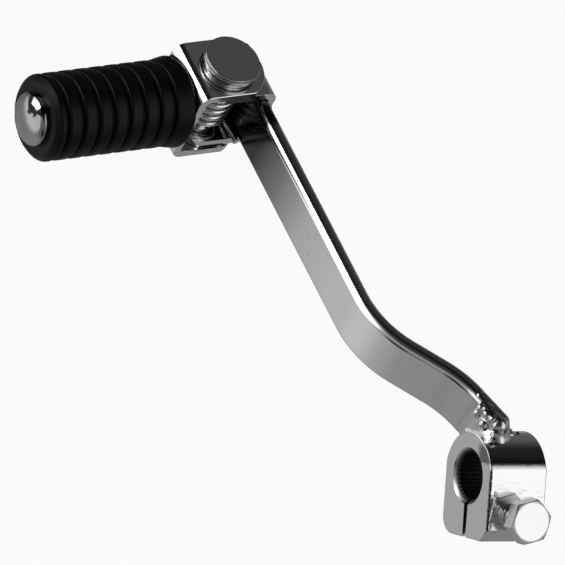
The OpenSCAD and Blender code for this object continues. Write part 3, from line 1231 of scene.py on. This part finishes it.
    def weld_lumps(self) -> list[tuple[np.ndarray, float]]:
        """Frozen drops on the weld, from the bar's front corner round its end to the boss.

        Returns:
            Each drop's middle and radius.
        """
        by_end = ((-6.0, -2.3, 6.0, 1.25), (-6.2, -2.2, 3.7, 1.1), (-3.1, -2.6, 3.1, 1.5),
                  (-3.9, -2.3, 5.9, 1.0), (-2.0, -2.2, 6.2, 1.1), (-0.2, -2.0, 5.4, 1.4),
                  (0.7, -2.2, 3.0, 1.2))
        by_boss = ((0.4, 2.4, 10.7, 1.1), (2.2, 3.8, 10.2, 0.95), (2.6, 1.4, 10.3, 1.2),
                   (4.4, -0.8, 9.7, 1.3))
        return [(seat.place(np.array(drop[:3])), drop[3])
                for seat, drops in ((self.end_seat(), by_end), (ROW, by_boss)) for drop in drops]

    def melt(self, mesh: bpy.types.Mesh, voxel_mm: float, passes: int) -> Piece:
        """Fuses overlapping shells into one skin and smooths it.

        Args:
            mesh: the shells.
            voxel_mm: size of the remesh's cells.
            passes: smoothing passes.

        Returns:
            A piece with the fused mesh.
        """
        piece = add_object("boss_weld_bead", mesh)
        fuse = piece.modifiers.new("fuse", "REMESH")
        fuse.mode = "VOXEL"
        fuse.voxel_size = voxel_mm * MM
        calm = piece.modifiers.new("calm", "SMOOTH")
        calm.factor = 0.5
        calm.iterations = passes
        apply_modifiers(piece)
        return piece

    def build_weld(self) -> Piece:
        """Weld metal: a smoothed body with drops on it, each fused by a remesh.

        Returns:
            The weld's piece.
        """
        parts = ((self.weld_body(), 0.25, 14), (self.weld_lumps(), 0.22, 9))
        piece = None
        for balls, voxel, passes in parts:
            bm = bmesh.new()
            if piece:
                bm.from_mesh(piece.data)
                bpy.data.objects.remove(piece)
            for place, radius in balls:
                matrix = Matrix.Translation(Vector(place * MM)) @ Matrix.Scale(radius * MM, 4)
                bmesh.ops.create_icosphere(bm, subdivisions=2, radius=1.0, matrix=matrix)
            mesh = bpy.data.meshes.new("boss_weld_bead")
            bm.to_mesh(mesh)
            bm.free()
            piece = self.melt(mesh, voxel, passes)
        tidy_mesh(piece, 180.0)
        return piece

    def build(self, finishes: Finishes) -> None:
        """Builds and dresses the bar and its weld."""
        dress(self.build_bar(), Body.LEVER, Slot.PLATE, finishes.arm, "arm")
        dress(self.build_weld(), Body.LEVER, Slot.WELD, finishes.weld, "boss_weld")


@dataclass
class Hinge:
    """The nested brackets, their rivet and washer, and the torsion spring round it."""

    arm_w: float = Arm.width
    sheet: float = 2.0
    play: float = 0.2
    web: float = 11.2
    pin_d: float = 7.8
    head_d: float = 14.5
    head_t: float = 2.1
    washer_d: float = 11.6
    washer_t: float = 1.0
    tail_d: float = 11.0
    tail_h: float = 1.8
    wire_d: float = 1.6
    coil_gap: float = 0.25
    coil_pitch: float = 2.3
    coil_turns: int = 5
    lean: float = 28.0
    arm_leg: float = 10.0

    @property
    def outside(self) -> float:
        """Distance from the middle to the outside of the peg bracket's ears."""
        return self.arm_w / 2 + 2 * self.play + 2 * self.sheet

    def build_rivet(self) -> Piece:
        """Rivet: flat head with a bevelled rim above, shank, and a rounded closed end below.

        Returns:
            The rivet, turned from its profile.
        """
        top = self.outside + self.washer_t + self.head_t
        r, tail, low = self.head_d / 2, self.tail_d / 2, -self.outside
        head = rounded([(0, top - 0.05), (r - 1.6, top), (r - 0.28, top), (r - 0.06, top - 0.5),
                        (r - 0.2, top - 0.85), (r, top - 1.15), (r, top - self.head_t),
                        (self.pin_d / 2, top - self.head_t)], [2, 0.12, 0.2, 0.2, 0.2, 0.35])
        shank = np.array([[self.pin_d / 2, low], [tail, low]])
        a = np.radians(np.linspace(0, 90, 10))[1:]
        end = np.stack([tail * np.cos(a), low - self.tail_h * np.sin(a)], axis=1)
        return revolve("pivot_rivet_turned", np.concatenate([head, shank, end]), ARM)

    def build_washer(self) -> Piece:
        """Flat washer with eased edges.

        Returns:
            The washer.
        """
        r, hole = self.washer_d / 2, self.pin_d / 2 + 0.05
        low, top, e = self.outside, self.outside + self.washer_t, 0.2
        ring = np.array([[hole, low], [r - e, low], [r, low + e], [r, top - e], [r - e, top],
                         [hole, top]])
        return revolve("rivet_washer_flat", ring, ARM, closed=True)

    def build_spring(self) -> Piece:
        """Wire carried along a helix (R cos a, R sin a, pitch * turns) with a leg at each end.

        Returns:
            The spring, its legs tangent to the helix.
        """
        r = self.pin_d / 2 + self.coil_gap + self.wire_d / 2
        steps, stub, gap = 8, 0.6, 0.05
        start, end = 90.0, 270 - self.lean + 360 * self.coil_turns
        a = np.radians(np.linspace(start, end, 40 * self.coil_turns + 20))
        rise = self.coil_pitch * (a - a[0]) / (2 * math.pi)
        coil = np.stack([r * np.cos(a), r * np.sin(a), rise - rise[-1] / 2], axis=1)
        heading = np.stack([-np.sin(a), np.cos(a), 0 * a], axis=1)
        web_in = self.web - self.sheet
        lean = math.radians(self.lean)
        peg_leg = (web_in - self.wire_d / 2 - r * math.cos(lean) - gap) / math.sin(lean)
        out = np.linspace(self.arm_leg, stub, steps)[:, None]
        back = np.linspace(stub, peg_leg, steps)[:, None]
        path = np.concatenate([coil[:1] - out * heading[:1], coil, coil[-1:] + back * heading[-1:]])
        along = np.concatenate([np.repeat(heading[:1], steps, axis=0), heading,
                                np.repeat(heading[-1:], steps, axis=0)])
        ring = arc_points((0, 0), self.wire_d / 2, 0, 360, 18)[:-1]
        return sweep("torsion_spring_wire", path, np.cross(along, Z), Z, ring, ARM, 60.0)

    def build_bracket_weld(self) -> Piece:
        """A short run of overlapping weld ripples in the corner between bar and bracket.

        Its quarter-round section swells with |sin| along the run, and eases off at the ends by
        the eighth power of the distance from the middle.

        Returns:
            The bead.
        """
        corner, back, half = 8.0, Arm.front + Arm.thickness, 5.8
        sunk, radius, ripple_len = 0.1, 1.9, 1.3
        s = np.linspace(-half, half, 60)
        ripple = 1 + 0.10 * np.abs(np.sin(math.pi * s / ripple_len))
        ease = np.sqrt(np.clip(1 - (np.abs(s) / half) ** 8, 0.02, 1))
        centres = np.stack([0 * s + corner - sunk, 0 * s + back - sunk, s], axis=1)
        outline = np.concatenate([[[0.0, 0.0]], arc_points((0, 0), radius, 0, 90, 10)])
        section = outline[None] * (ripple * ease)[:, None, None]
        return sweep("bracket_weld_bead", centres, X, Y, section, ARM, 50.0)

    def build(self, finishes: Finishes) -> None:
        """Builds and dresses the hinge's pieces.

        Args:
            finishes: the materials.
        """
        for node, body in (("arm_bracket", Body.LEVER), ("peg_bracket", Body.PEG)):
            dress(node_copy(node, f"{node}_sheet"), body, Slot.PLATE, finishes.plate, node)
        dress(self.build_rivet(), Body.LEVER, Slot.TURNED, finishes.turned, "pivot_rivet")
        dress(self.build_washer(), Body.LEVER, Slot.TURNED, finishes.turned, "rivet_washer")
        dress(self.build_spring(), Body.LEVER, Slot.WIRE, finishes.wire, "torsion_spring")
        dress(self.build_bracket_weld(), Body.LEVER, Slot.WELD, finishes.weld, "bracket_weld")


@dataclass
class Peg:
    """The rod with its domed head and the ribbed rubber sleeve."""

    web: float = Hinge.web
    sheet: float = Hinge.sheet
    rod_d: float = 8.0
    dome_d: float = 13.4
    dome_h: float = 2.6
    rim_h: float = 0.8
    rubber_d: float = 21.4
    rubber_len: float = 39.6
    grooves: int = 8
    pitch: float = 4.37
    groove_w: float = 1.1
    groove_depth: float = 1.1
    collar_d: float = 22.6

    @property
    def end(self) -> float:
        """Distance from the pivot to the rubber's outer end."""
        return self.web + self.rubber_len

    def build_rod(self) -> Piece:
        """Rod with a domed head: an ellipse's quarter above a short straight rim.

        Returns:
            The rod.
        """
        a = np.radians(np.linspace(0, 90, 16))
        rim = self.end + self.rim_h
        dome = np.stack([self.dome_d / 2 * np.cos(a), rim + self.dome_h * np.sin(a)], axis=1)
        rod = np.array([[0, self.web - self.sheet], [self.rod_d / 2, self.web - self.sheet],
                        [self.rod_d / 2, self.end], [self.dome_d / 2 - 0.2, self.end],
                        [self.dome_d / 2, self.end + 0.2]])
        return revolve("peg_rod_domed", np.concatenate([rod, dome]), ARM.facing(1, 3, -2))

    def build_rubber(self) -> Piece:
        """Sleeve: flared collar, grooves with rounded lips and a rounded outer shoulder.

        Returns:
            The sleeve.
        """
        r, hole = self.rubber_d / 2, self.rod_d / 2 + 0.05
        last = self.end - 3.3
        first = last - (self.grooves - 1) * self.pitch
        collar = self.collar_d / 2
        corners = [(hole, self.web), (collar - 0.6, self.web), (collar, self.web + 1.0),
                   (collar - 0.15, self.web + 2.2), (r, first - self.groove_w)]
        radii = [0.6, 0.8, 1.5, 1.5]
        for k in range(self.grooves):
            s = first + k * self.pitch
            half = self.groove_w / 2
            corners += [(r, s - half * 1.1), (r - self.groove_depth, s - half * 0.5),
                        (r - self.groove_depth, s + half * 0.5), (r, s + half * 1.1)]
            radii += [0.8, 0.2, 0.2, 0.8]
        corners += [(r, self.end - 1.4), (r - 1.5, self.end), (hole, self.end)]
        radii += [1.0, 0.8]
        return revolve("rubber_sleeve_ribbed", rounded(corners, radii, 5), ARM.facing(1, 3, -2),
                       closed=True, segments=128)

    def build(self, finishes: Finishes) -> None:
        """Builds and dresses the peg's pieces."""
        dress(self.build_rod(), Body.PEG, Slot.TURNED, finishes.dome, "peg_rod")
        dress(self.build_rubber(), Body.PEG, Slot.RUBBER, finishes.rubber, "rubber_sleeve")


@dataclass(frozen=True)
class Patch:
    """A soft-edged patch of the studio's walls: its direction by the picture's axes and its tone.

    Its strength rises smoothly from 0 to 1 as the cosine of the angle to its middle goes from
    edge to core. A dark patch multiplies the tone there, and a lamp adds to it.
    """

    towards: Triple
    edge: float
    core: float
    tone: float
    adds: bool = False


@dataclass
class Studio:
    """Camera, lamps, floor and walls."""

    azimuth: float = 59.45
    elevation: float = 6.19
    roll: float = 4.04
    across: float = -51.388
    up: float = 46.531
    pixels_per_mm: float = 4.155
    frame_pixels: float = 565.0
    distance: float = 3000.0
    floor_gap: float = 60.0
    base: float = 0.28
    sensor_mm: float = 36.0
    floor_half: float = 12.0
    floor_grey: float = 0.86
    floor_white: float = 1.06
    floor_seen: float = 0.88
    patches: list[Patch] = field(default_factory=lambda: [
        Patch((0.29, 0.95, 0.00), 0.25, 0.60, 0.04),
        Patch((0.52, 0.84, 0.00), 0.80, 1.00, 0.06, True),
        Patch((-0.89, 0.31, 0.33), 0.74, 0.80, 0.92, True),
        Patch((0.86, -0.15, 0.47), 0.80, 0.93, 1.02, True),
        Patch((-0.90, -0.25, -0.36), 0.72, 0.97, 0.17, True),
        Patch((-0.72, -0.66, -0.20), 0.80, 0.97, 0.10, True),
        Patch((0.50, 0.45, -0.74), 0.80, 0.93, 0.12, True),
        Patch((-0.42, -0.75, 0.51), 0.93, 0.98, 0.06),
        Patch((0.14, 0.20, 0.97), 0.84, 0.93, 0.15),
    ])

    def axes(self) -> np.ndarray:
        """The picture's axes in the lever's frame.

        Returns:
            Rows of the picture's right, the picture's up and the way back to the camera.
        """
        a, e, r = (math.radians(v) for v in (self.azimuth, self.elevation, self.roll))
        back = np.array([math.sin(a) * math.cos(e), -math.cos(a) * math.cos(e), math.sin(e)])
        right = np.array([math.cos(a), math.sin(a), 0.0])
        upright = np.cross(back, right)
        return np.array([right * math.cos(r) + upright * math.sin(r),
                         upright * math.cos(r) - right * math.sin(r), back])

    def add_camera(self) -> None:
        """Long lens at the photograph's angle, framed so that the picture's scale is kept."""
        axes = self.axes()
        data = bpy.data.cameras.new("camera")
        data.sensor_width = self.sensor_mm
        data.lens = data.sensor_width * self.distance / (self.frame_pixels / self.pixels_per_mm)
        data.clip_start, data.clip_end = 0.1, 100.0
        camera = add_object("camera", data)
        place = axes[0] * self.across + axes[1] * self.up + axes[2] * self.distance
        matrix = Matrix(axes.T.tolist()).to_4x4()
        matrix.translation = Vector(place * MM)
        camera.matrix_world = matrix
        bpy.context.scene.camera = camera

    def add_lamp(self, name: str, towards: Triple, away: float, size: float,
                 watts: float) -> None:
        """Adds a soft square lamp seen from the picture's axes, aimed at the lever.

        Args:
            name: the lamp's name.
            towards: its direction as (right, up, back).
            away: its distance in metres.
            size: the square's side in metres.
            watts: its power.
        """
        data = bpy.data.lights.new(name, "AREA")
        data.size = size
        data.energy = watts
        lamp = add_object(name, data)
        way = Vector(np.array(towards) @ self.axes()).normalized()
        lamp.location = CAD_MIDDLE + way * away
        lamp.rotation_euler = way.to_track_quat("Z", "Y").to_euler()

    def walls(self) -> bpy.types.NodeTree:
        """Node group: the walls' tone in a direction, built from the patches.

        Returns:
            The group.
        """
        kit, (direction,), out = new_group("studio_walls", {"Direction": None}, "Tone")
        tone: Value = self.base
        for patch in self.patches:
            way = np.array(patch.towards) @ self.axes()
            dot = kit.vector("DOT_PRODUCT", direction, way / np.linalg.norm(way))
            start, joins = (0.0, kit.plus) if patch.adds else (1.0, kit.times)
            tone = joins(tone, kit.step(dot, patch.edge, patch.core, start, patch.tone))
        kit.put(tone, out)
        return kit.tree

    def add_floor(self, walls: bpy.types.NodeTree) -> None:
        """Pale floor well under the lever, white to the camera and the walls' tone to the chrome.

        Args:
            walls: the group that gives the walls' tone.
        """
        low, half = CAD_BOX[0].z - self.floor_gap * MM, self.floor_half
        mesh = bpy.data.meshes.new("floor")
        corners = [(x * half, y * half, low) for x, y in ((-1, -1), (1, -1), (1, 1), (-1, 1))]
        mesh.from_pydata(corners, [], [(0, 1, 2, 3)])
        floor = add_object("floor", mesh)
        material, kit, shader = new_material("pale_floor")
        grey = self.floor_grey
        shader.inputs["Base Color"].default_value = (grey, grey, grey, 1.0)
        shader.inputs["Roughness"].default_value = 0.8
        way = kit.vector("NORMALIZE", kit.vector("SUBTRACT", kit.place(), CAD_MIDDLE))
        tone = kit.add("ShaderNodeGroup", node_tree=walls, Direction=way).outputs["Tone"]
        ray = kit.add("ShaderNodeLightPath").outputs
        camera, glossy = ray["Is Camera Ray"], ray["Is Glossy Ray"]
        strength = kit.plus(kit.times(camera, self.floor_white), kit.times(glossy, tone))
        glow = kit.add("ShaderNodeEmission", Strength=strength)
        mix = kit.add("ShaderNodeMixShader",
                      Fac=kit.larger(kit.times(camera, self.floor_seen), glossy))
        kit.put(shader.outputs[0], mix.inputs[1])
        kit.put(glow.outputs[0], mix.inputs[2])
        kit.put(mix.outputs[0], material.node_tree.nodes["Material Output"].inputs["Surface"])
        mesh.materials.append(material)

    def add_world(self, walls: bpy.types.NodeTree) -> None:
        """Walls all round: white to the camera, and their own tone in reflections and as light.

        Args:
            walls: the group that gives the walls' tone.
        """
        world = bpy.data.worlds.new("studio")
        bpy.context.scene.world = world
        world.use_nodes = True
        kit = NodeKit(world.node_tree)
        background = world.node_tree.nodes["Background"]
        way = kit.add("ShaderNodeTexCoord").outputs["Generated"]
        tone = kit.add("ShaderNodeGroup", node_tree=walls, Direction=way).outputs["Tone"]
        camera = kit.add("ShaderNodeLightPath").outputs["Is Camera Ray"]
        kit.put(kit.larger(camera, tone), background.inputs["Strength"])
        background.inputs["Color"].default_value = (1.0, 1.0, 1.0, 1.0)

    def build(self) -> None:
        """Sets up the view and everything round the lever."""
        self.add_camera()
        self.add_lamp("key_lamp", (-0.58, 0.61, 0.54), away=1.4, size=0.6, watts=5.0)
        walls = self.walls()
        self.add_floor(walls)
        self.add_world(walls)
        bpy.context.scene.view_settings.view_transform = "Standard"


def main() -> None:
    """Builds the studio and each sub-assembly in order."""
    logging.basicConfig(level=logging.INFO)
    Studio().build()
    finishes = Finishes()
    Boss().build(finishes)
    Arm().build(finishes)
    Hinge().build(finishes)
    Peg().build(finishes)


if __name__ == "__main__":
    main()
